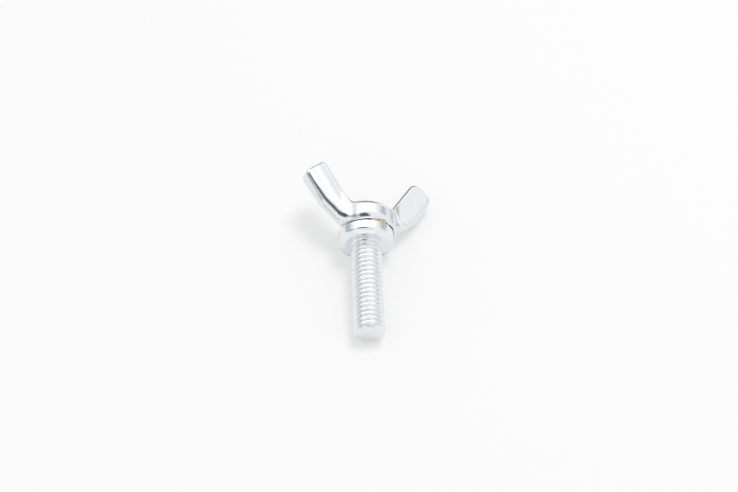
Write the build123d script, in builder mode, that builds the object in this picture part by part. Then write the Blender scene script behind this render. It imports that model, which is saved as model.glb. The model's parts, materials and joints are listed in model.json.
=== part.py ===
from build123d import *
from math import asin, atan2, cos, degrees, hypot, radians, sin, tan
import os

# Steel wing bolt: a screw with a round collar, and a forged V-shaped wing head welded onto it.
# It is modelled upright on its own axis: Z points from the thread to the wings, X to the right wing,
# and Z = 0 is the thread side of the collar. At the end it is laid down as it rests on a table.

# Screw
thread_diameter = 5.9
thread_length = 20.0
thread_end_chamfer = 0.4
neck_diameter = 5.35
neck_length = 2.0
collar_diameter = 10.7
collar_height = 2.55
collar_lower_rounding = 1.2
collar_upper_rounding = 0.14
projection_diameter = 7.0
weld_gap = 0.28

# Wing head
head_offset = 0.35
head_lean = 1.5
base_diameter = 10.4
base_height = 0.5
base_neck_diameter = 8.8
body_height = 0.75
hub_diameter = 9.8
hub_top_height = 5.15
hub_blend = 3.0
wing_angle = 58.5
wing_width = 5.4
wing_thickness = 3.4
wing_reach = 17.0
wing_inner_offset = 0.5
tip_rake = 9.0
left_tip_rounding = 0.8
right_tip_rounding = 1.5
flank_angle = 42.0
bend_height = 4.4
bend_rounding = 5.0
foot_rounding = 3.0
crotch_rounding = 1.0
edge_rounding = 0.75

# Search for edges, vertices and the resting angle
match_tolerance = 0.01
parallel_cosine = 0.999
roll_limit = 60.0
roll_tolerance = 1e-9

thread_radius = thread_diameter / 2
neck_radius = neck_diameter / 2
collar_radius = collar_diameter / 2
head_base = collar_height + weld_gap

with BuildPart() as threaded_stud:
    with BuildSketch(Plane.XZ):
        with BuildLine():
            Polyline(
                (0, -thread_length),
                (thread_radius - thread_end_chamfer, -thread_length),
                (thread_radius, -thread_length + thread_end_chamfer),
                (thread_radius, -neck_length),
                (neck_radius, -neck_length),
                (neck_radius, 0),
                (collar_radius, 0),
                (collar_radius, collar_height),
                (projection_diameter / 2, collar_height),
                (projection_diameter / 2, head_base),
                (0, head_base),
                close=True,
            )
        make_face()
    revolve(axis=Axis.Z)
    for rim_height, rounding in ((0, collar_lower_rounding), (collar_height, collar_upper_rounding)):
        rim = threaded_stud.edges().filter_by(GeomType.CIRCLE).filter_by(
            lambda e: abs(e.radius - collar_radius) < match_tolerance
            and abs(e.center().Z - rim_height) < match_tolerance)
        fillet(rim, rounding)
threaded_stud.part.label = "threaded_stud"

# The head's own frame: offset towards the right wing and leaning that way.
head_frame = Plane(origin=(head_offset, 0, head_base)).rotated((0, head_lean, 0))
head_front = Plane(origin=head_frame.origin, x_dir=head_frame.x_dir, z_dir=-head_frame.y_dir)

# The right wing runs along (along_x, along_z), and its outer side faces (out_x, out_z).
along_x = cos(radians(wing_angle))
along_z = sin(radians(wing_angle))
out_x = along_z
out_z = -along_x


def wing_point(along, out):
    return (along * along_x + out * out_x, along * along_z + out * out_z)


wing_outer_offset = wing_inner_offset + wing_width
tip_drop = wing_width * tan(radians(tip_rake))
inner_tip = wing_point(wing_reach, wing_inner_offset)
outer_tip = wing_point(wing_reach - tip_drop, wing_outer_offset)
bend = wing_point((bend_height - wing_outer_offset * out_z) / along_z, wing_outer_offset)
foot = (bend[0] - (bend_height - body_height) / tan(radians(flank_angle)), body_height)
crotch = ((wing_inner_offset - hub_top_height * out_z) / out_x, hub_top_height)
head_span = 2 * outer_tip[0]
shoulder_height = body_height + edge_rounding / 3

with BuildPart() as wing_head:
    with BuildSketch(head_front) as front_outline:
        with BuildLine():
            Polyline(
                (0, body_height), foot, bend, outer_tip, inner_tip, crotch, (0, hub_top_height),
                close=True,
            )
        make_face()
        mirror(about=Plane.YZ)
        for height, rounding in (
            (bend_height, bend_rounding),
            (hub_top_height, crotch_rounding),
            (body_height, foot_rounding),
        ):
            corners = front_outline.vertices().filter_by_position(
                Axis.Y, height - match_tolerance, height + match_tolerance)
            fillet(corners, rounding)
        for side, rounding in ((-1, left_tip_rounding), (1, right_tip_rounding)):
            for tip in (inner_tip, outer_tip):
                fillet(front_outline.vertices().sort_by_distance((side * tip[0], tip[1]))[0], rounding)
    extrude(amount=hub_diameter, both=True)
    with BuildSketch(head_frame) as plan_outline:
        Rectangle(2 * head_span, wing_thickness)
        Circle(hub_diameter / 2)
        inner_corners = plan_outline.vertices().filter_by_position(Axis.X, -hub_diameter / 2, hub_diameter / 2)
        fillet(inner_corners, hub_blend)
    extrude(amount=2 * wing_reach, mode=Mode.INTERSECT)
    # All edges but the straight ones that run up the hub or through the wings' thickness are rounded.
    rims = wing_head.edges().filter_by(
        lambda e: not (e.geom_type == GeomType.LINE and (
            abs(e.tangent_at(0).dot(head_frame.z_dir)) > parallel_cosine
            or abs(e.tangent_at(0).dot(head_front.z_dir)) > parallel_cosine)))
    fillet(rims, edge_rounding)
    split(bisect_by=Plane.XY.offset(head_base), keep=Keep.TOP)
    # The base is a round plate with a sloping shoulder that runs up under the hub.
    with BuildSketch(Plane(origin=(head_offset, 0, head_base), x_dir=(1, 0, 0), z_dir=(0, -1, 0))):
        with BuildLine():
            Polyline(
                (0, body_height + edge_rounding),
                (0, 0),
                (base_diameter / 2, 0),
                (base_diameter / 2, base_height),
                (base_neck_diameter / 2, shoulder_height),
                (base_neck_diameter / 2, body_height + edge_rounding),
                close=True,
            )
        make_face()
    revolve(axis=Axis((head_offset, 0, head_base), (0, 0, 1)))
wing_head.part.label = "wing_head"

# The bolt lies on the rim of its thread's end, on its collar and on the tip of the right wing.
# The thread's end is the lower one: the pitch comes from the collar and that rim.
seat_rise = collar_radius - collar_lower_rounding - thread_radius
seat_run = collar_lower_rounding + thread_length - thread_end_chamfer
pitch = atan2(seat_rise, seat_run) + asin(collar_lower_rounding / hypot(seat_rise, seat_run))
axis_height = (
    (collar_radius - collar_lower_rounding) * cos(pitch)
    - collar_lower_rounding * sin(pitch)
    + collar_lower_rounding)

# The roll is the one at which the rounded outer corner of the right wing's tip meets the table.
corner_out = wing_outer_offset - right_tip_rounding
corner_along = (
    wing_reach
    - tan(radians(tip_rake)) * (corner_out - wing_inner_offset)
    - right_tip_rounding / cos(radians(tip_rake)))
corner_x, corner_z = wing_point(corner_along, corner_out)
corner = head_frame.from_local_coords((corner_x, 0, corner_z))


def corner_height(roll):
    down_x = sin(roll) * cos(pitch)
    down_z = -sin(pitch)
    return (
        axis_height
        - corner.X * down_x
        - corner.Z * down_z
        - (wing_thickness / 2 - edge_rounding) * cos(roll) * cos(pitch)
        - (right_tip_rounding - edge_rounding) * hypot(down_x, down_z)
        - edge_rounding)


roll_low = 0.0
roll_high = radians(roll_limit)
while roll_high - roll_low > roll_tolerance:
    roll = (roll_low + roll_high) / 2
    if corner_height(roll) > 0:
        roll_low = roll
    else:
        roll_high = roll

lying = Plane(
    origin=(0, 0, axis_height),
    x_dir=(cos(roll), sin(roll) * sin(pitch), -sin(roll) * cos(pitch)),
    z_dir=(0, cos(pitch), sin(pitch)),
).location
for piece in (threaded_stud, wing_head):
    piece.part.move(lying)
box = threaded_stud.part.bounding_box().add(wing_head.part.bounding_box())
to_origin = Location((-box.center().X, -box.center().Y, -box.min.Z))
for piece in (threaded_stud, wing_head):
    piece.part.move(to_origin)

os.makedirs("parts", exist_ok=True)
export_step(threaded_stud.part, "parts/threaded_stud.step")
export_step(wing_head.part, "parts/wing_head.step")
print("pitch", degrees(pitch), "roll", degrees(roll), "axis height", axis_height, "box", box)
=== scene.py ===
"""Looks of a zinc-plated wing bolt that lies on a pale floor."""
import json
import math

import bmesh
import bpy
import numpy as np
from bpy.props import FloatProperty, FloatVectorProperty, IntProperty, PointerProperty
from mathutils import Matrix, Vector


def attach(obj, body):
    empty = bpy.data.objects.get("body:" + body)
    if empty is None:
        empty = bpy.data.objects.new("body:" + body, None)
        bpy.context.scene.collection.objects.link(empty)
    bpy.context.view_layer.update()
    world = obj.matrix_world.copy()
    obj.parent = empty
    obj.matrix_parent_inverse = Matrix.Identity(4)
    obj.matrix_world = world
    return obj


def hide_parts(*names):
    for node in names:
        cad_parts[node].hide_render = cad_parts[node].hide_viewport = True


bl_info = {
    "name": "Wing Bolt Looks",
    "version": (1, 0, 0),
    "blender": (4, 5, 0),
    "location": "View3D > Sidebar > Wing Bolt",
    "description": "Builds the threaded screw, the forged wing head, their zinc plate and the studio",
    "category": "Object",
}

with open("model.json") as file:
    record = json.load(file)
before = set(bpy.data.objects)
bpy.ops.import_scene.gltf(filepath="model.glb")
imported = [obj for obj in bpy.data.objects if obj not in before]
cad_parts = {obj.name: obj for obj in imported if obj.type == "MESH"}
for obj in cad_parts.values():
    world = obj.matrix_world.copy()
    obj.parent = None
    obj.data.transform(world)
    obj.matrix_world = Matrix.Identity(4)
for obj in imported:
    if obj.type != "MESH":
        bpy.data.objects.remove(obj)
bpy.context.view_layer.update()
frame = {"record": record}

# Points that lie nearer to each other than this, in metres, become one vertex.
MEETING_DISTANCE = 1e-8

# Steps along the arc of a rounded corner, along a quarter round of the head, and over the face of a wing.
CORNER_STEPS = 40
QUARTER_STEPS = 12
FACE_STEPS = 48

# The thread's finish covers the faces that lie further than this above the end face and below the collar, in metres.
THREAD_FINISH_MARGINS = (0.00005, 0.0003)

# Zinc finishes: name, stretch of the pattern along the bolt's axes, bump height in metres, and what differs from the
# node group's own values.
ZINC_FINISHES = (
    ("Screw Zinc", (1, 1, 1), 0.00002, {}),
    ("Thread Zinc", (1, 1, 1), 0.000012, {
        "Roughness Low": 0.24, "Roughness High": 0.34,
        "Plate Color": (0.885, 0.905, 0.925, 1), "Drift Color": (0.825, 0.85, 0.875, 1)}),
    ("Head Zinc", (1, 1, 0.3), 0.00004, {
        "Roughness Low": 0.12, "Roughness High": 0.28,
        "Plate Color": (0.84, 0.867, 0.89, 1), "Drift Color": (0.76, 0.8, 0.835, 1)}),
    ("Weld Spatter", (1, 1, 1), 0.00003, {
        "Roughness Low": 0.3, "Roughness High": 0.5, "Grime and Shade": 0.55, "Grime and Shade Color": (0.62, 0.45, 0.18, 1)}),
    # The seam's finish is nearly black: painted shade of the deep gap between collar and head, laid on the weld seam.
    ("Weld Gap Shade", (1, 1, 1), 0.00003, {
        "Roughness Low": 0.4, "Roughness High": 0.6, "Grime and Shade": 0.95, "Grime and Shade Color": (0.03, 0.026, 0.022, 1)}),
)

# Roundings of each wing, in metres: its inner edge, its outer edge near the tip and below the bend, the tip's corners
# as seen from the front, and the tip's rim.
RIGHT_ROUNDINGS = {"inner": 0.00085, "outer": 0.0009, "belly": 0.0011, "tip": 0.0019, "rim": 0.0006}
LEFT_ROUNDINGS = {"inner": 0.00075, "outer": 0.0008, "belly": 0.0018, "tip": 0.0008, "rim": 0.0004}

# Where a form goes over into the next, in shares of the way from the tip to the hub's middle: the outer edge's
# rounding into that of the belly, and that one into the hub's foot. The next two are in shares of the way from the
# hub's middle to the tip: the hub's upper edge into the wing's inner edge, and the start of the forging waves.
BELLY_BLEND = (0.1, 0.5)
FOOT_BLEND = (0.68, 0.86)
TOP_BLEND = (0.12, 0.5)
WAVE_START = (0.15, 0.4)

# Forging waves of the left wing: distance from its inner edge in metres, and slope of its face there in degrees.
LEFT_WAVES = (
    (0.0, 0.0), (0.0007, -5.0), (0.0011, 1.0), (0.0017, -5.0), (0.0024, 2.0), (0.0030, 6.0), (0.0038, 0.5),
    (0.0044, 4.0), (0.0048, 8.0), (0.0054, 8.0))

# Steps over the wing's width at which the waves are summed up, steps of the window that smooths them, and the step at
# which their depth is zero.
WAVE_STEPS = 400
WAVE_SMOOTHING_STEPS = 25
WAVE_LEVEL_STEP = 130

# The waves' sway across the wing: swing in metres, radians from the hub to the tip, and phase in radians. Then the
# distance from the wing's middle plane, in metres, below which the waves fade.
WAVE_SWAY = (0.00012, 9, 0.6)
WAVE_FADE = 0.0009

# Forging folds at the right wing's root: both ends over the front plane, depth and breadth, in metres.
RIGHT_CREASES = (
    ((0.0050, 0.0052), (0.0057, 0.0033), 0.00016, 0.00028),
    ((0.0062, 0.0040), (0.0073, 0.0032), 0.00010, 0.00025))

# Wandering of the weld seam's outer face: swing in metres, waves in one turn, and phase in radians.
SEAM_WANDER = ((0.00003, 7, 1), (0.00003, 17, 2), (0.00002, 41, 0))

# The seam's section, from its hidden inner edge over its face and back: whether the point is hidden, its distance out
# from the face in metres, and its share of the height.
SEAM_SECTION = (
    (True, 0.0, 0.0), (False, -0.0001, 0.0), (False, 0.00003, 0.3), (False, 0.00003, 0.7), (False, -0.0001, 1.0),
    (True, 0.0, 1.0))

# Weld spatter: angle from the front towards the right in degrees, height over the seam's lower edge and radius in
# metres, and stretch round the seam.
CRUMBS = (
    (-6, 0.0003, 0.00034, 1.5), (1, 0.0001, 0.00026, 1.0), (7, 0.0004, 0.00042, 1.2), (13, 0.0, 0.00036, 1.0),
    (17, 0.0004, 0.00046, 1.1), (21, -0.0004, 0.00036, 1.0), (28, 0.0001, 0.00026, 1.4), (14, -0.0006, 0.00032, 0.9))

# Each crumb's depth against its height, its coarse and fine lumps in shares of its radius, and its steps round and
# from pole to pole.
CRUMB_FLATNESS = 0.7
CRUMB_LUMPS = (0.18, 0.14)
CRUMB_STEPS = (20, 12)

# Reflection cards: name, direction from the bolt, distance, half width and half height in metres, the share of the
# half axes up to which the card is even, the share of light it takes away, and its glow.
CARDS = (
    ("overhead_card", (-0.22, -0.25, 0.93), 0.6, 0.38, 0.3, 0.5, 0.9, 0.0),
    ("left_card", (-0.85, 0.0, 0.5), 0.7, 0.36, 0.32, 0.4, 0.65, 0.0),
    ("back_card", (0.0, 0.95, 0.26), 0.75, 0.5, 0.36, 0.45, 0.7, 0.0),
    ("front_card", (0.15, -0.9, 0.4), 0.8, 0.62, 0.28, 0.3, 0.32, 0.0),
    ("front_left_card", (-0.72, -0.66, 0.2), 0.75, 0.26, 0.2, 0.3, 0.35, 0.0),
    ("right_card", (0.93, -0.3, 0.2), 0.75, 0.26, 0.2, 0.3, 0.35, 0.0),
    ("white_card", (-0.2, 0.469, 0.86), 0.9, 0.87, 0.34, 0.6, 0.0, 0.48),
    ("streak_card", (0.45, 0.4, 0.8), 0.7, 0.16, 0.16, 0.4, 0.0, 0.4),
    ("low_right_card", (0.81, 0.53, 0.24), 0.75, 0.2, 0.26, 0.3, 0.5, 0.0),
    ("front_glow_card", (0.0, -0.98, 0.0), 0.8, 0.4, 0.2, 0.3, 0.0, 0.2),
    ("low_left_card", (-0.8, 0.53, 0.22), 0.75, 0.2, 0.26, 0.3, 0.45, 0.0),
)


def bolt_frame():
    """Origin and axes of the bolt: X to the right wing, Z from the thread to the wings, and the origin where the
    screw's axis meets the collar's thread side. The record's thread mount gives the axis, the settings the roll."""
    screw = bpy.context.scene.wing_bolt_screw
    mount = next(m for m in frame["record"]["mounts"] if m["name"] == "thread")
    z_axis = -np.array(mount["axis"], float)
    z_axis /= np.linalg.norm(z_axis)
    origin = np.array(mount["pos_m"], float) + z_axis * (screw.length - screw.end_chamfer)
    flat = np.array((1.0, 0.0, 0.0))
    x_axis = math.cos(screw.roll) * flat - math.sin(screw.roll) * np.cross(flat, z_axis)
    return origin, np.stack([x_axis, np.cross(z_axis, x_axis), z_axis])


def to_row(points):
    """Points of the bolt's frame in the row frame: the origin plus x, y and z times the bolt's axes."""
    origin, axes = bolt_frame()
    return np.asarray(points) @ axes + origin


def smooth_step(value, low, high):
    """Smooth rise from 0 at low to 1 at high: 3 t squared less 2 t cubed."""
    t = np.clip((value - low) / (high - low), 0, 1)
    return t * t * (3 - 2 * t)


def arc(centre, radius, start, end, count):
    """Points of a circular arc in the half plane of radius and height: the centre plus the radius times the cosine
    and sine of an angle that runs evenly from start to end, in degrees."""
    angle = np.radians(np.linspace(start, end, count))
    return np.stack([centre[0] + radius * np.cos(angle), centre[1] + radius * np.sin(angle)], 1)


def line(start, end, count):
    """Evenly spaced points from start to end."""
    return np.linspace(start, end, count)


def full_turn(count):
    """Evenly spaced angles of one full turn, in radians."""
    return np.linspace(0, 2 * math.pi, count, endpoint=False)


def around(radius, height, turn):
    """Grid of points round the bolt's axis: the radius times the cosine and sine of the turn, and the height."""
    return np.stack([radius * np.cos(turn), radius * np.sin(turn), height + 0 * turn], -1)


def rounded_chain(corners, radii, count):
    """Evenly walked points of an open polyline whose inner corners are rounded: each corner gives way to an arc that
    touches both of its edges, and the points divide the length of runs and arcs evenly."""
    corners = np.asarray(corners, float)
    pieces = [corners[:1]]
    for before, at, after, radius in zip(corners[:-2], corners[1:-1], corners[2:], radii):
        back, ahead = before - at, after - at
        back, ahead = back / np.linalg.norm(back), ahead / np.linalg.norm(ahead)
        half = math.acos(np.clip(back @ ahead, -1, 1)) / 2
        middle = at + (back + ahead) / np.linalg.norm(back + ahead) * radius / math.sin(half)
        first = at + back * radius / math.tan(half) - middle
        last = at + ahead * radius / math.tan(half) - middle
        share = np.linspace(0, 1, CORNER_STEPS)[:, None]
        swing = math.pi - 2 * half
        pieces.append(middle + (np.sin((1 - share) * swing) * first + np.sin(share * swing) * last) / math.sin(swing))
    pieces.append(corners[-1:])
    points = np.concatenate(pieces)
    walked = np.concatenate([[0], np.cumsum(np.linalg.norm(np.diff(points, axis=0), axis=1))])
    at = np.linspace(0, walked[-1], count)
    return np.stack([np.interp(at, walked, points[:, k]) for k in (0, 1)], 1)


def add_object(name, data):
    """Object with the given data, put into the scene."""
    made = bpy.data.objects.new(name, data)
    bpy.context.scene.collection.objects.link(made)
    return made


def add_sheet(name, corners):
    """Object with one flat face between four corners."""
    mesh = bpy.data.meshes.new(name)
    mesh.from_pydata(corners, [], [(0, 1, 2, 3)])
    return add_object(name, mesh)


def grid_object(name, points):
    """Smooth object from a grid of points in the bolt's frame: rows run along the first index, columns along the
    second, and the last column joins the first. Points that meet become one vertex, so poles and seams are closed."""
    rows, columns = points.shape[:2]
    index = np.arange(rows * columns).reshape(rows, columns)
    beside = np.roll(index, -1, axis=1)
    quads = np.stack([index[:-1], beside[:-1], beside[1:], index[1:]], -1).reshape(-1, 4)
    mesh = bpy.data.meshes.new(name)
    mesh.from_pydata(to_row(points.reshape(-1, 3)).tolist(), [], quads.tolist())
    merged = bmesh.new()
    merged.from_mesh(mesh)
    bmesh.ops.remove_doubles(merged, verts=merged.verts, dist=MEETING_DISTANCE)
    merged.to_mesh(mesh)
    merged.free()
    mesh.polygons.foreach_set("use_smooth", np.ones(len(mesh.polygons), bool))
    mesh.update()
    return add_object(name, mesh)


def zinc_plate_group():
    """Node group of zinc plate: a colour that drifts between two tints, roughness that drifts with it, a tint that
    darkens and dulls it, which is real grime on the weld spatter and painted shade on the weld seam, and a height of
    fine ripples and grain."""
    group = bpy.data.node_groups.new("Zinc Plate", "ShaderNodeTree")
    group.interface.new_socket("Vector", in_out="INPUT", socket_type="NodeSocketVector")
    for name, kind, default in (
            ("Plate Color", "NodeSocketColor", (0.86, 0.885, 0.905, 1)),
            ("Drift Color", "NodeSocketColor", (0.79, 0.83, 0.86, 1)), ("Drift Scale", "NodeSocketFloat", 260.0),
            ("Roughness Low", "NodeSocketFloat", 0.1), ("Roughness High", "NodeSocketFloat", 0.26),
            ("Grime and Shade Color", "NodeSocketColor", (0.2, 0.14, 0.06, 1)), ("Grime and Shade", "NodeSocketFloat", 0.0),
            ("Grime and Shade Dullness", "NodeSocketFloat", 0.5), ("Ripple Scale", "NodeSocketFloat", 900.0),
            ("Grain Scale", "NodeSocketFloat", 3600.0), ("Grain Height", "NodeSocketFloat", 0.2)):
        group.interface.new_socket(name, in_out="INPUT", socket_type=kind).default_value = default
    for name, kind in (("Color", "NodeSocketColor"), ("Roughness", "NodeSocketFloat"), ("Height", "NodeSocketFloat")):
        group.interface.new_socket(name, in_out="OUTPUT", socket_type=kind)
    nodes, links = group.nodes, group.links
    given, result = nodes.new("NodeGroupInput"), nodes.new("NodeGroupOutput")

    def noise(scale, detail):
        node = nodes.new("ShaderNodeTexNoise")
        node.inputs["Detail"].default_value = detail
        links.new(given.outputs["Vector"], node.inputs["Vector"])
        links.new(given.outputs[scale], node.inputs["Scale"])
        return node.outputs["Fac"]

    def blend(factor, low, high):
        node = nodes.new("ShaderNodeMix")
        node.data_type = "RGBA"
        links.new(factor, node.inputs["Factor"])
        links.new(low, node.inputs["A"])
        links.new(high, node.inputs["B"])
        return node.outputs["Result"]

    def times_plus(value, factor, addend):
        node = nodes.new("ShaderNodeMath")
        node.operation = "MULTIPLY_ADD"
        for socket, source in zip(node.inputs, (value, factor, addend)):
            links.new(source, socket)
        return node.outputs["Value"]

    drift, ripple, grain = noise("Drift Scale", 4.0), noise("Ripple Scale", 3.0), noise("Grain Scale", 2.0)
    tint = blend(drift, given.outputs["Plate Color"], given.outputs["Drift Color"])
    # The grime and shade colour covers the tint: real grime on the spatter, painted shade of the gap on the weld seam.
    links.new(blend(given.outputs["Grime and Shade"], tint, given.outputs["Grime and Shade Color"]), result.inputs["Color"])
    # The noise keeps near its middle, so the roughness runs its whole range between these two values.
    rough = nodes.new("ShaderNodeMapRange")
    rough.inputs["From Min"].default_value = 0.3
    rough.inputs["From Max"].default_value = 0.7
    links.new(drift, rough.inputs["Value"])
    links.new(given.outputs["Roughness Low"], rough.inputs["To Min"])
    links.new(given.outputs["Roughness High"], rough.inputs["To Max"])
    dull = times_plus(given.outputs["Grime and Shade"], given.outputs["Grime and Shade Dullness"], rough.outputs["Result"])
    links.new(dull, result.inputs["Roughness"])
    links.new(times_plus(grain, given.outputs["Grain Height"], ripple), result.inputs["Height"])
    return group


def zinc_material(name, group, stretch, bump, values):
    """Zinc plate on steel. The pattern lies in the bolt's own directions: the mapping undoes the bolt's pose, and
    stretch scales the pattern along them."""
    origin, axes = bolt_frame()
    made = bpy.data.materials.new(name)
    made.use_nodes = True
    nodes, links = made.node_tree.nodes, made.node_tree.links
    shader = nodes["Principled BSDF"]
    shader.inputs["Metallic"].default_value = 1.0
    place = nodes.new("ShaderNodeTexCoord")
    turn = nodes.new("ShaderNodeMapping")
    turn.vector_type = "TEXTURE"
    turn.inputs["Location"].default_value = origin
    turn.inputs["Rotation"].default_value = Matrix(axes.T.tolist()).to_euler()
    scale = nodes.new("ShaderNodeVectorMath")
    scale.operation = "MULTIPLY"
    scale.inputs[1].default_value = stretch
    plate = nodes.new("ShaderNodeGroup")
    plate.node_tree = group
    for key, value in values.items():
        plate.inputs[key].default_value = value
    relief = nodes.new("ShaderNodeBump")
    relief.inputs["Strength"].default_value = 1.0
    relief.inputs["Distance"].default_value = bump
    links.new(place.outputs["Object"], turn.inputs["Vector"])
    links.new(turn.outputs["Vector"], scale.inputs[0])
    links.new(scale.outputs["Vector"], plate.inputs["Vector"])
    links.new(plate.outputs["Color"], shader.inputs["Base Color"])
    links.new(plate.outputs["Roughness"], shader.inputs["Roughness"])
    links.new(plate.outputs["Height"], relief.inputs["Height"])
    links.new(relief.outputs["Normal"], shader.inputs["Normal"])


class ScrewSettings(bpy.types.PropertyGroup):
    """Sizes of the threaded screw and its collar."""
    roll: FloatProperty(
        name="Roll", description="Turn of the wings about the screw's axis", default=0.404535, subtype="ANGLE")
    length: FloatProperty(
        name="Length", description="From the collar to the end", default=0.02, subtype="DISTANCE")
    diameter: FloatProperty(
        name="Diameter", description="Over the thread's crests", default=0.0059, subtype="DISTANCE")
    root_diameter: FloatProperty(
        name="Root Diameter", description="At the bottom of the thread", default=0.00502, subtype="DISTANCE")
    pitch: FloatProperty(
        name="Pitch", description="Rise of the thread in one turn", default=0.001, subtype="DISTANCE")
    root_flat: FloatProperty(
        name="Root Flat", description="Share of the pitch that the flat root takes", default=0.06, subtype="FACTOR")
    flank_share: FloatProperty(
        name="Flank Share", description="Share of the pitch that both flanks take", default=0.52, subtype="FACTOR")
    flank_softness: FloatProperty(
        name="Flank Softness", description="How far the flanks bend at root and crest", default=0.1,
        subtype="FACTOR")
    end_chamfer: FloatProperty(
        name="End Chamfer", description="Chamfer of the thread's end", default=0.0004, subtype="DISTANCE")
    end_rim: FloatProperty(
        name="End Rim", description="Narrow band that keeps the end face's rim crisp", default=0.00005,
        subtype="DISTANCE")
    neck_diameter: FloatProperty(
        name="Neck Diameter", description="Plain neck under the collar", default=0.00535, subtype="DISTANCE")
    neck_length: FloatProperty(
        name="Neck Length", description="Length of the plain neck", default=0.0009, subtype="DISTANCE")
    neck_fillet: FloatProperty(
        name="Neck Fillet", description="Hollow rounding from the neck to the collar", default=0.00035,
        subtype="DISTANCE")
    run_out: FloatProperty(
        name="Run-out", description="Length in which the thread fades into the neck", default=0.0011,
        subtype="DISTANCE")
    collar_diameter: FloatProperty(
        name="Collar Diameter", description="Width of the round collar", default=0.0107, subtype="DISTANCE")
    collar_height: FloatProperty(
        name="Collar Height", description="Height of the round collar", default=0.00255, subtype="DISTANCE")
    collar_rounding: FloatProperty(
        name="Collar Rounding", description="Rounding of the rim on the head's side", default=0.00014,
        subtype="DISTANCE")
    collar_bevel: FloatProperty(
        name="Collar Bevel", description="Height of the bevel on the thread side's rim", default=0.00092,
        subtype="DISTANCE")
    crease_rounding: FloatProperty(
        name="Crease Rounding", description="Rounding between the collar's rim and its bevel", default=0.0006,
        subtype="DISTANCE")
    bevel_rounding: FloatProperty(
        name="Bevel Rounding", description="Rounding between the bevel and the flat face", default=0.0003,
        subtype="DISTANCE")
    projection_diameter: FloatProperty(
        name="Projection Diameter", description="Welded projection on the collar", default=0.007,
        subtype="DISTANCE")
    weld_gap: FloatProperty(
        name="Weld Gap", description="Gap between the collar and the head", default=0.00028, subtype="DISTANCE")
    columns: IntProperty(name="Columns", description="Steps round the screw", default=128)
    rows_per_pitch: IntProperty(name="Rows per Pitch", description="Steps along one turn of thread", default=20)


class HeadSettings(bpy.types.PropertyGroup):
    """Sizes of the forged wing head."""
    offset: FloatProperty(
        name="Offset", description="Shift of the head towards the right wing", default=0.00035, subtype="DISTANCE")
    lean: FloatProperty(
        name="Lean", description="Lean of the head towards the right wing", default=math.radians(1.5),
        subtype="ANGLE")
    base_diameter: FloatProperty(
        name="Base Diameter", description="Round plate at the head's foot", default=0.0104, subtype="DISTANCE")
    base_height: FloatProperty(
        name="Base Height", description="Height of that plate's rim", default=0.0006, subtype="DISTANCE")
    base_rounding: FloatProperty(
        name="Base Rounding", description="Rounding of that plate's rim", default=0.0002, subtype="DISTANCE")
    base_reach: FloatProperty(
        name="Base Reach", description="Height up to which that plate reaches into the hub", default=0.0011,
        subtype="DISTANCE")
    body_height: FloatProperty(
        name="Body Height", description="Height at which the forged body starts", default=0.00075,
        subtype="DISTANCE")
    hub_diameter: FloatProperty(
        name="Hub Diameter", description="Width of the hub", default=0.0098, subtype="DISTANCE")
    hub_top: FloatProperty(
        name="Hub Top", description="Height of the hub", default=0.00535, subtype="DISTANCE")
    hub_rounding: FloatProperty(
        name="Hub Rounding", description="Rounding of the hub's upper edge", default=0.0017, subtype="DISTANCE")
    hub_foot_rounding: FloatProperty(
        name="Hub Foot Rounding", description="Rounding of the hub's lower edge", default=0.0003,
        subtype="DISTANCE")
    hub_blend: FloatProperty(
        name="Hub Blend", description="Hollow rounding between hub and wing", default=0.003, subtype="DISTANCE")
    waist_diameter: FloatProperty(
        name="Waist Diameter", description="Width of the hub where the round plate ends", default=0.0091,
        subtype="DISTANCE")
    waist_groove: FloatProperty(
        name="Waist Groove", description="Radius of the fine groove between plate and waist", default=0.0001,
        subtype="DISTANCE")
    waist_overlap: FloatProperty(
        name="Waist Overlap", description="How far the plate's hidden part widens inside the hub", default=0.00005,
        subtype="DISTANCE")
    waist_start: FloatProperty(
        name="Waist Start", description="Height below which the hub narrows", default=0.0023, subtype="DISTANCE")
    waist_radius: FloatProperty(
        name="Waist Radius", description="Radius of the hub's curve into its waist", default=0.0027,
        subtype="DISTANCE")
    wing_angle: FloatProperty(
        name="Wing Angle", description="Rise of the wings", default=math.radians(58.5), subtype="ANGLE")
    wing_width: FloatProperty(
        name="Wing Width", description="Width of a wing", default=0.0054, subtype="DISTANCE")
    wing_thickness: FloatProperty(
        name="Wing Thickness", description="Thickness of a wing", default=0.0034, subtype="DISTANCE")
    wing_reach: FloatProperty(
        name="Wing Reach", description="Length of a wing from the head's foot", default=0.017, subtype="DISTANCE")
    inner_offset: FloatProperty(
        name="Inner Offset", description="Distance of a wing's inner edge from the foot's centre", default=0.0005,
        subtype="DISTANCE")
    tip_rake: FloatProperty(
        name="Tip Rake", description="Slope of a wing's end", default=math.radians(9.0), subtype="ANGLE")
    flank_angle: FloatProperty(
        name="Flank Angle", description="Slope of the outer edge below the bend", default=math.radians(42.0),
        subtype="ANGLE")
    bend_height: FloatProperty(
        name="Bend Height", description="Height of the outer edge's bend", default=0.0044, subtype="DISTANCE")
    bend_rounding: FloatProperty(
        name="Bend Rounding", description="Rounding of that bend", default=0.005, subtype="DISTANCE")
    foot_rounding: FloatProperty(
        name="Foot Rounding", description="Rounding where a wing's outer edge meets the foot", default=0.003,
        subtype="DISTANCE")
    crotch_rounding: FloatProperty(
        name="Crotch Rounding", description="Rounding between the hub's top and a wing's inner edge", default=0.001,
        subtype="DISTANCE")
    rows: IntProperty(name="Rows", description="Steps from the hub's middle to a wing's tip", default=260)
    crowding: FloatProperty(
        name="Crowding", description="How much the rows crowd together towards the tip", default=1.35)
    columns: IntProperty(name="Columns", description="Steps round the plate at the foot", default=128)


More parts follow.
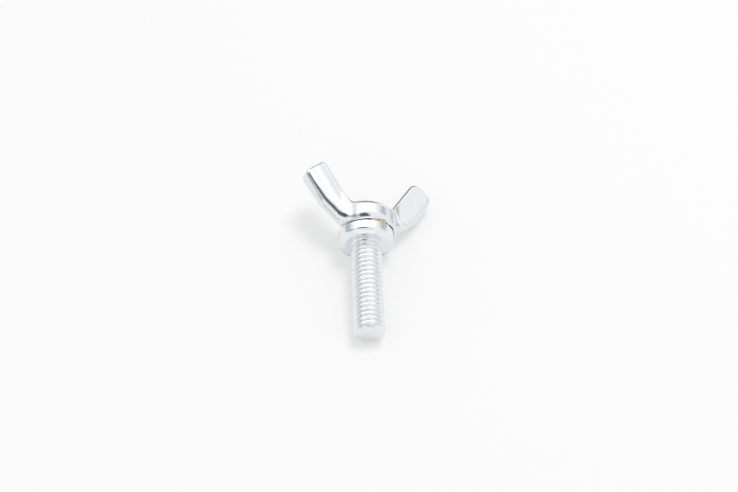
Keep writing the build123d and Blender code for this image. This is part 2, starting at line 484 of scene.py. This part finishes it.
class WeldSettings(bpy.types.PropertyGroup):
    """Sizes of the weld seam and its spatter."""
    reach: FloatProperty(
        name="Reach", description="Radius of the seam's outer face", default=0.00521, subtype="DISTANCE")
    inner_reach: FloatProperty(
        name="Inner Reach", description="Radius of the seam's hidden inner edge", default=0.0036,
        subtype="DISTANCE")
    lower_lap: FloatProperty(
        name="Lower Lap", description="How far the seam dips into the collar", default=0.00006, subtype="DISTANCE")
    upper_lap: FloatProperty(
        name="Upper Lap", description="How far the seam rises into the head's plate", default=0.00018,
        subtype="DISTANCE")
    crumb_reach: FloatProperty(
        name="Crumb Reach", description="Distance of the spatter from the axis", default=0.00515,
        subtype="DISTANCE")
    columns: IntProperty(name="Columns", description="Steps round the seam", default=240)


class StageSettings(bpy.types.PropertyGroup):
    """Camera, floor and light."""
    camera_place: FloatVectorProperty(
        name="Camera Place", description="Where the camera stands", default=(0.000043, -0.255236, 0.302208),
        subtype="TRANSLATION")
    camera_turn: FloatVectorProperty(
        name="Camera Turn", description="Its rotation", default=(0.7130851, 0.0226345, -0.0261614), subtype="EULER")
    focal_length: FloatProperty(
        name="Focal Length", description="Lens, in millimetres", default=100.0, unit="CAMERA")
    floor_reach: FloatProperty(
        name="Floor Reach", description="From the middle of the floor to its edges", default=3.0,
        subtype="DISTANCE")
    floor_color: FloatVectorProperty(
        name="Floor Color", description="Pale floor", default=(0.30, 0.30, 0.30), subtype="COLOR")
    floor_glow: FloatProperty(
        name="Floor Glow", description="Light that comes through the floor from below", default=0.525)
    light_color: FloatVectorProperty(
        name="Light Color", description="Colour of the white surroundings", default=(1.0, 1.0, 1.0),
        subtype="COLOR")
    surround_strength: FloatProperty(
        name="Surround Strength", description="Light of the white surroundings", default=1.0)
    lamp_place: FloatVectorProperty(
        name="Lamp Place", description="Where the soft lamp hangs, facing the bolt", default=(0.18, 0.1, 0.65),
        subtype="TRANSLATION")
    lamp_size: FloatProperty(
        name="Lamp Size", description="Width of the round lamp", default=0.26, subtype="DISTANCE")
    lamp_power: FloatProperty(
        name="Lamp Power", description="Power of the lamp", default=2.4, unit="POWER")


class WINGBOLT_OT_finish(bpy.types.Operator):
    """Make the zinc plate of the screw and of the head"""
    bl_idname = "wing_bolt.finish"
    bl_label = "Make Zinc Plate"

    def execute(self, context):
        group = zinc_plate_group()
        for name, stretch, bump, values in ZINC_FINISHES:
            zinc_material(name, group, stretch, bump, values)
        return {"FINISHED"}


class WINGBOLT_OT_screw(bpy.types.Operator):
    """Build the screw with its rolled thread, neck, collar and weld projection"""
    bl_idname = "wing_bolt.screw"
    bl_label = "Build Screw"

    def execute(self, context):
        s = context.scene.wing_bolt_screw
        radius, root, neck = s.diameter / 2, s.root_diameter / 2, s.neck_diameter / 2
        collar, projection = s.collar_diameter / 2, s.projection_diameter / 2
        bevel, rim, fillet = s.collar_bevel, s.collar_rounding, s.neck_fillet
        top = s.collar_height + s.weld_gap
        # The section runs from the end face's middle along the thread, the neck and the collar to the projection's.
        thread_rows = round((s.length - s.neck_length) / s.pitch * s.rows_per_pitch)
        end_face = line((0, -s.length), (radius - s.end_chamfer - s.end_rim, -s.length), 12)
        thread = line((radius, -s.length), (radius, -s.neck_length), thread_rows)
        above = np.concatenate([
            line((neck, -s.neck_length), (neck, -fillet), 7)[1:-1],
            arc((neck + fillet, -fillet), fillet, 180, 90, 9),
            line((neck + fillet, 0), (collar - bevel - s.bevel_rounding, 0), 8)[1:],
            arc((collar - bevel - s.bevel_rounding, s.bevel_rounding), s.bevel_rounding, -90, -45, 8)[1:],
            arc((collar - s.crease_rounding, bevel), s.crease_rounding, -45, 0, 10),
            line((collar, bevel), (collar, s.collar_height - rim), 6)[1:],
            arc((collar - rim, s.collar_height - rim), rim, 0, 90, 7)[1:],
            line((collar - rim, s.collar_height), (projection, s.collar_height), 6)[1:],
            line((projection, s.collar_height), (projection, top), 4)[1:],
            line((projection, top), (0, top), 4)[1:]])
        section = np.concatenate([end_face, thread, above])
        turn = full_turn(s.columns)
        reach, height = section[:, :1] + 0 * turn, section[:, 1:] + 0 * turn
        # A point's place in the thread is its height over the pitch less its turn. A triangle wave of that place, cut
        # flat at the root and at the crest, lifts the radius from the root to the crest. The run-out blends the
        # thread into the neck, and a cone of 45 degrees chamfers the end.
        place = height / s.pitch - turn / (2 * math.pi)
        wave = 1 - np.abs((place % 1.0) * 2 - 1)
        flank = np.clip((wave - s.root_flat) / s.flank_share, 0, 1)
        flank = (1 - s.flank_softness) * flank + s.flank_softness * smooth_step(flank, 0, 1)
        fade = smooth_step(-s.neck_length - height, 0, s.run_out)
        ridge = neck + fade * (root + (radius - root) * flank - neck)
        cone = radius - s.end_chamfer + height + s.length
        threaded = slice(len(end_face), len(end_face) + len(thread))
        reach[threaded] = np.minimum(ridge, cone)[threaded]
        made = grid_object("screw", around(reach, height, turn))
        # The thread and the neck are paler and duller than the collar and the end face.
        made.data.materials.append(bpy.data.materials["Screw Zinc"])
        made.data.materials.append(bpy.data.materials["Thread Zinc"])
        centres = np.empty(len(made.data.polygons) * 3)
        made.data.polygons.foreach_get("center", centres)
        origin, axes = bolt_frame()
        up = (centres.reshape(-1, 3) - origin) @ axes[2]
        over_end, under_collar = THREAD_FINISH_MARGINS
        rolled = (up > over_end - s.length) & (up < -under_collar)
        made.data.polygons.foreach_set("material_index", rolled.astype(np.int32))
        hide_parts("threaded_stud")
        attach(made, "root")
        return {"FINISHED"}


def half_thickness(h, x, z):
    """Half thickness of the head over the front plane. It is half of the wing's away from the hub, and near the hub
    that of a circle, which narrows to a waist below and joins the wing by a hollow rounding."""
    wing, blend = h.wing_thickness / 2, h.hub_blend
    hub = h.hub_diameter / 2 - np.clip(h.waist_start - z, 0, None) ** 2 / (2 * h.waist_radius)
    far = np.abs(x)
    # The hollow rounding touches the circle from outside and the wing's face from above.
    centre_y = wing + blend
    centre_x = np.sqrt((hub + blend) ** 2 - centre_y ** 2)
    touch = centre_x * hub / (hub + blend)
    on_hub = np.sqrt(np.clip(hub ** 2 - far ** 2, 0, None))
    on_blend = centre_y - np.sqrt(np.clip(blend ** 2 - (far - centre_x) ** 2, 0, None))
    return np.where(far < touch, on_hub, np.where(far < centre_x, on_blend, wing))


def wave_depth(waves, wing_width):
    """Depth of the forging waves at evenly spaced distances over a wing's width. The slope runs straight between the
    given distances, is smoothed by a bell-shaped window, and is summed up from the level step's depth of zero."""
    distances, slopes = np.array(waves).T
    at = np.linspace(0, wing_width, WAVE_STEPS)
    slope = np.interp(at, distances, np.tan(np.radians(slopes)))
    window = np.hanning(WAVE_SMOOTHING_STEPS)
    slope = np.convolve(np.pad(slope, WAVE_SMOOTHING_STEPS // 2, mode="edge"), window / window.sum(), mode="valid")
    depth = np.cumsum(slope) * (at[1] - at[0])
    return at, depth - depth[WAVE_LEVEL_STEP]


def drawn_in(radius, left_over):
    """How far a rounded end draws in where some length is left before it: the radius less the leg of a right triangle
    whose long side is the radius and whose other leg is the radius less the length left, and nothing beyond that."""
    return radius - np.sqrt(np.clip(radius ** 2 - np.clip(radius - left_over, 0, None) ** 2, 0, None))


def half_head(h, side, roundings, waves=(), creases=()):
    """Grid of one half of the head, from the hub's middle to a wing's tip: side is 1 for the right wing and -1 for
    the left. Each row is a closed loop in a plane across the wing: it runs between the inner and the outer outline,
    with a quarter round at each of its four corners, and stands off the middle plane by the half thickness. Near the
    tip the loops draw in as the tip's roundings ask."""
    cos, sin = math.cos(h.wing_angle), math.sin(h.wing_angle)

    def wing_point(along, out):
        return np.array((along * cos + out * sin, along * sin - out * cos))

    outer = h.inner_offset + h.wing_width
    inner_tip = wing_point(h.wing_reach, h.inner_offset)
    outer_tip = wing_point(h.wing_reach - h.wing_width * math.tan(h.tip_rake), outer)
    crotch = np.array(((h.inner_offset + h.hub_top * cos) / sin, h.hub_top))
    bend = wing_point((h.bend_height + outer * cos) / sin, outer)
    foot = np.array((bend[0] - (h.bend_height - h.body_height) / math.tan(h.flank_angle), h.body_height))
    upper = rounded_chain([(0, h.hub_top), crotch, inner_tip], [h.crotch_rounding], h.rows)
    lower = rounded_chain([(0, h.body_height), foot, bend, outer_tip], [h.foot_rounding, h.bend_rounding], h.rows)
    # Rows crowd together towards the tip, where the roundings are: share runs from 0 at the hub to 1 at the tip.
    walked = np.linspace(0, 1, h.rows)
    share = 1 - (1 - walked) ** h.crowding
    upper = np.stack([np.interp(share, walked, upper[:, k]) for k in (0, 1)], 1)
    lower = np.stack([np.interp(share, walked, lower[:, k]) for k in (0, 1)], 1)
    across = lower - upper
    width = np.linalg.norm(across, axis=1)
    across /= width[:, None]
    left_over = (1 - share) * np.linalg.norm(np.diff(upper, axis=0), axis=1).sum()
    inset = drawn_in(roundings["tip"], left_over)[:, None]
    thinning = drawn_in(roundings["rim"], left_over)[:, None] / (h.wing_thickness / 2)
    # Along the wing the roundings of both edges go over into those of the hub.
    low_r = roundings["outer"] + (roundings["belly"] - roundings["outer"]) * smooth_step(1 - share, *BELLY_BLEND)
    low_r = low_r + (h.hub_foot_rounding - low_r) * smooth_step(1 - share, *FOOT_BLEND)
    top_r = h.hub_rounding + (roundings["inner"] - h.hub_rounding) * smooth_step(share, *TOP_BLEND)
    top_r, low_r, w = top_r[:, None], low_r[:, None], width[:, None]
    # Each loop starts at the middle of the inner side and crosses the front face. It has five runs: inner side,
    # quarter round, face, quarter round, outer side. The steps are shares of a side or face and angles of a round.
    quarter, face = np.linspace(0, math.pi / 2, QUARTER_STEPS), np.linspace(0, 1, FACE_STEPS)[1:-1]
    runs = (np.linspace(0, 1, 4)[:-1], quarter, face, quarter[::-1], np.linspace(1, 0, 5)[1:])
    step = np.concatenate(runs)
    run = np.repeat(np.arange(len(runs)), [len(steps) for steps in runs])
    first_runs = [run == k for k in range(4)]
    place = np.select(
        first_runs,
        [0 * w, top_r * (1 - np.cos(step)), top_r + (w - top_r - low_r) * step, w - low_r * (1 - np.cos(step))], w)
    place = inset + place * (w - 2 * inset) / w
    flat = upper[:, None] + across[:, None] * place[..., None]
    thick = half_thickness(h, flat[..., 0], flat[..., 1])
    inner_wall, outer_wall = thick - top_r, thick - low_r
    stand = np.select(
        first_runs,
        [inner_wall * step, inner_wall + top_r * np.sin(step), thick, outer_wall + low_r * np.sin(step)],
        outer_wall * step)
    stand = np.maximum(stand * (1 - thinning), 0)
    # Forging waves run along the wing and sway a little across it. They start beyond the hub and end at the edges.
    if waves:
        at, depth = wave_depth(waves, h.wing_width)
        swing, rate, phase = WAVE_SWAY
        sway = swing * np.sin(share * rate + phase)[:, None]
        depth = np.interp(place * h.wing_width / np.maximum(w, h.wing_width) + sway, at, depth)
        stand = stand - depth * smooth_step(share, *WAVE_START)[:, None] * np.minimum(stand / WAVE_FADE, 1)
    # Each crease is a groove along a straight run: it is as deep as a bell curve of the distance from that run.
    for start, end, deep, breadth in creases:
        start, end = np.array(start), np.array(end)
        ahead = end - start
        along = np.clip((flat - start) @ ahead / (ahead @ ahead), 0, 1)[..., None]
        gap = np.linalg.norm(flat - start - along * ahead, axis=-1)
        stand = stand - deep * np.exp(-(gap / breadth) ** 2)
    front = np.stack([side * flat[..., 0], -stand, flat[..., 1]], -1)
    back = np.stack([side * flat[..., 0], stand, flat[..., 1]], -1)[:, ::-1][:, 1:-1]
    loops = np.concatenate([front, back], 1)
    # The last loop is closed by rings that shrink to one point.
    cap = loops[-1].mean(0)
    rings = [cap + (loops[-1] - cap) * size for size in (0.75, 0.5, 0.25, 0.0)]
    return np.concatenate([loops, np.stack(rings)], 0)


class WINGBOLT_OT_head(bpy.types.Operator):
    """Build the forged head: hub and wings in one body, and the round plate under them"""
    bl_idname = "wing_bolt.head"
    bl_label = "Build Head"

    def execute(self, context):
        h, screw = context.scene.wing_bolt_head, context.scene.wing_bolt_screw
        foot = np.array((h.offset, 0, screw.collar_height + screw.weld_gap))
        # One body: the left half's rows run from its tip to the middle, the right half's on from there.
        right = half_head(h, 1, RIGHT_ROUNDINGS, creases=RIGHT_CREASES)
        left = half_head(h, -1, LEFT_ROUNDINGS, waves=LEFT_WAVES)
        rows = np.concatenate([left[::-1], right[1:]])
        lean = np.array([[math.cos(h.lean), 0, -math.sin(h.lean)], [0, 1, 0], [math.sin(h.lean), 0, math.cos(h.lean)]])
        body = grid_object("head_body", rows @ lean + foot)
        # The plate's section runs from its middle over the rim to the waist, and closes inside the hub.
        rim, waist, edge, groove = h.base_diameter / 2, h.waist_diameter / 2, h.base_rounding, h.waist_groove
        section = np.concatenate([
            line((0, 0), (rim - edge, 0), 6),
            arc((rim - edge, edge), edge, -90, 0, 7)[1:],
            line((rim, edge), (rim, h.base_height - edge), 3)[1:],
            arc((rim - edge, h.base_height - edge), edge, 0, 80, 6)[1:],
            arc((waist - groove, h.base_height + groove), groove, -90, -155, 6),
            line((waist + h.waist_overlap, h.base_reach), (0, h.base_reach), 4)])
        base = grid_object("head_base", around(section[:, :1], section[:, 1:], full_turn(h.columns)) + foot)
        for piece in (body, base):
            piece.data.materials.append(bpy.data.materials["Head Zinc"])
            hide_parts("wing_head")
            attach(piece, "root")
        return {"FINISHED"}


class WINGBOLT_OT_weld(bpy.types.Operator):
    """Build the weld seam between collar and head, whose nearly black colour is painted shade of the deep gap there,
    and the spatter beside it
    """
    bl_idname = "wing_bolt.weld"
    bl_label = "Build Weld"

    def execute(self, context):
        weld, screw = context.scene.wing_bolt_weld, context.scene.wing_bolt_screw
        low = screw.collar_height - weld.lower_lap
        high = screw.collar_height + screw.weld_gap + weld.upper_lap
        # The seam's centre lies midway between the screw's axis and the head's.
        centre = np.array((context.scene.wing_bolt_head.offset / 2, 0, 0))
        turn = full_turn(weld.columns)
        # The seam's outer face wanders in and out as a sum of sine waves of the turn.
        reach = weld.reach + sum(swing * np.sin(waves * turn + phase) for swing, waves, phase in SEAM_WANDER)
        hidden, out, share = (np.array(values)[:, None] for values in zip(*SEAM_SECTION))
        ring = around(np.where(hidden, weld.inner_reach, reach + out), low + (high - low) * share, turn) + centre
        seam = grid_object("weld_seam_shade", np.concatenate([ring, ring[:1]]))
        # Nearly black finish on the seam: painted shade of the deep gap between collar and head.
        seam.data.materials.append(bpy.data.materials["Weld Gap Shade"])
        # Each crumb is a ball whose radius swells and shrinks with sines of its two angles. It is stretched round the
        # seam and flattened against it.
        coarse, fine = CRUMB_LUMPS
        turn, rise = full_turn(CRUMB_STEPS[0]), np.linspace(0, math.pi, CRUMB_STEPS[1])[:, None]
        for k, (angle, up, size, stretch) in enumerate(CRUMBS):
            lumps = coarse * np.sin(3 * turn + k) + fine * np.sin(2 * rise + 4 * turn + 2 * k)
            ball = size * (1 + lumps * np.sin(rise))
            angle = math.radians(angle)
            outward = np.array((math.sin(angle), -math.cos(angle), 0))
            along = np.array((math.cos(angle), math.sin(angle), 0))
            points = (
                (ball * np.sin(rise) * np.cos(turn) * stretch)[..., None] * along
                + (ball * np.sin(rise) * np.sin(turn) * CRUMB_FLATNESS + weld.crumb_reach)[..., None] * outward
                + (ball * np.cos(rise) + low + up)[..., None] * np.array((0, 0, 1))
                + centre)
            crumb = grid_object("weld_crumb_%d" % (k + 1), points)
            crumb.data.materials.append(bpy.data.materials["Weld Spatter"])
            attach(crumb, "root")
        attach(seam, "root")
        return {"FINISHED"}


def add_card(name, direction, distance, wide, tall, even, shade, glow):
    """Soft-edged oval that only shows in reflections: it faces the bolt from a direction. It takes away a share of the
    light behind it, and adds a glow. Both fall smoothly to nothing from the even share of its half axes to its rim."""
    way = np.array(direction) / np.linalg.norm(direction)
    side = np.cross(way, (0.0, 0.0, 1.0))
    side /= np.linalg.norm(side)
    up = np.cross(side, way)
    corners = np.array([(-1, -1), (1, -1), (1, 1), (-1, 1)], float)
    places = way * distance + corners[:, :1] * wide * side + corners[:, 1:] * tall * up
    made = add_sheet(name, places.tolist())
    made.data.uv_layers.new(name="Oval").data.foreach_set("uv", corners.ravel())
    made.visible_camera = made.visible_diffuse = made.visible_shadow = False
    finish = bpy.data.materials.new(name)
    finish.use_nodes = True
    nodes, links = finish.node_tree.nodes, finish.node_tree.links
    nodes.remove(nodes["Principled BSDF"])
    place, gap = nodes.new("ShaderNodeTexCoord"), nodes.new("ShaderNodeVectorMath")
    gap.operation = "LENGTH"
    links.new(place.outputs["UV"], gap.inputs[0])

    def fade(at_middle, at_rim):
        node = nodes.new("ShaderNodeMapRange")
        node.interpolation_type = "SMOOTHSTEP"
        node.inputs["From Min"].default_value = even
        node.inputs["From Max"].default_value = 1.0
        node.inputs["To Min"].default_value = at_middle
        node.inputs["To Max"].default_value = at_rim
        links.new(gap.outputs["Value"], node.inputs["Value"])
        return node.outputs["Result"]

    clear, shine, both = (nodes.new("ShaderNode" + kind) for kind in ("BsdfTransparent", "Emission", "AddShader"))
    links.new(fade(1.0 - shade, 1.0), clear.inputs["Color"])
    links.new(fade(glow, 0.0), shine.inputs["Strength"])
    links.new(clear.outputs["BSDF"], both.inputs[0])
    links.new(shine.outputs["Emission"], both.inputs[1])
    links.new(both.outputs["Shader"], nodes["Material Output"].inputs["Surface"])
    made.data.materials.append(finish)


class WINGBOLT_OT_stage(bpy.types.Operator):
    """Set up the floor, the light and the camera"""
    bl_idname = "wing_bolt.stage"
    bl_label = "Set Up Stage"

    def execute(self, context):
        s, scene = context.scene.wing_bolt_stage, context.scene
        scene.view_settings.view_transform = "Standard"
        world = bpy.data.worlds.new("Studio")
        world.use_nodes = True
        back = world.node_tree.nodes["Background"]
        back.inputs["Color"].default_value = (*s.light_color, 1)
        back.inputs["Strength"].default_value = s.surround_strength
        scene.world = world
        far = s.floor_reach
        floor = add_sheet("floor", [(-far, -far, 0), (far, -far, 0), (far, far, 0), (-far, far, 0)])
        paper = bpy.data.materials.new("Paper")
        paper.use_nodes = True
        shader = paper.node_tree.nodes["Principled BSDF"]
        shader.inputs["Base Color"].default_value = (*s.floor_color, 1)
        shader.inputs["Emission Color"].default_value = (1, 1, 1, 1)
        shader.inputs["Emission Strength"].default_value = s.floor_glow
        shader.inputs["Roughness"].default_value = 1.0
        shader.inputs["Specular IOR Level"].default_value = 0.0
        floor.data.materials.append(paper)
        for values in CARDS:
            add_card(*values)
        # The lamp lights the floor and shades it, but isn't seen in the metal.
        lamp = bpy.data.lights.new("side_lamp", "AREA")
        lamp.shape = "DISK"
        lamp.size = s.lamp_size
        lamp.energy = s.lamp_power
        stand = add_object("side_lamp", lamp)
        stand.location = s.lamp_place
        stand.visible_glossy = False
        stand.rotation_euler = Vector(s.lamp_place).to_track_quat("Z", "Y").to_euler()
        lens = bpy.data.cameras.new("camera")
        lens.lens = s.focal_length
        lens.sensor_width = 36.0
        lens.clip_start = 0.01
        camera = add_object("camera", lens)
        camera.location = s.camera_place
        camera.rotation_euler = s.camera_turn
        scene.camera = camera
        return {"FINISHED"}


class WINGBOLT_PT_panel(bpy.types.Panel):
    """Lists the steps of the wing bolt's looks, and their settings"""
    bl_label = "Wing Bolt"
    bl_idname = "WINGBOLT_PT_panel"
    bl_space_type = "VIEW_3D"
    bl_region_type = "UI"
    bl_category = "Wing Bolt"

    def draw(self, context):
        layout, scene = self.layout, context.scene
        for step in STEPS:
            layout.operator(step.bl_idname)
        for settings in (scene.wing_bolt_screw, scene.wing_bolt_head, scene.wing_bolt_weld, scene.wing_bolt_stage):
            box = layout.box()
            for key in settings.__annotations__:
                box.prop(settings, key)


STEPS = (WINGBOLT_OT_finish, WINGBOLT_OT_screw, WINGBOLT_OT_head, WINGBOLT_OT_weld, WINGBOLT_OT_stage)
CLASSES = (ScrewSettings, HeadSettings, WeldSettings, StageSettings, *STEPS, WINGBOLT_PT_panel)


def register():
    for kind in CLASSES:
        bpy.utils.register_class(kind)
    bpy.types.Scene.wing_bolt_screw = PointerProperty(type=ScrewSettings)
    bpy.types.Scene.wing_bolt_head = PointerProperty(type=HeadSettings)
    bpy.types.Scene.wing_bolt_weld = PointerProperty(type=WeldSettings)
    bpy.types.Scene.wing_bolt_stage = PointerProperty(type=StageSettings)


def unregister():
    del bpy.types.Scene.wing_bolt_stage
    del bpy.types.Scene.wing_bolt_weld
    del bpy.types.Scene.wing_bolt_head
    del bpy.types.Scene.wing_bolt_screw
    for kind in reversed(CLASSES):
        bpy.utils.unregister_class(kind)


def main():
    register()
    bpy.ops.wing_bolt.finish()
    bpy.ops.wing_bolt.screw()
    bpy.ops.wing_bolt.head()
    bpy.ops.wing_bolt.weld()
    bpy.ops.wing_bolt.stage()


if __name__ == "__main__":
    main()
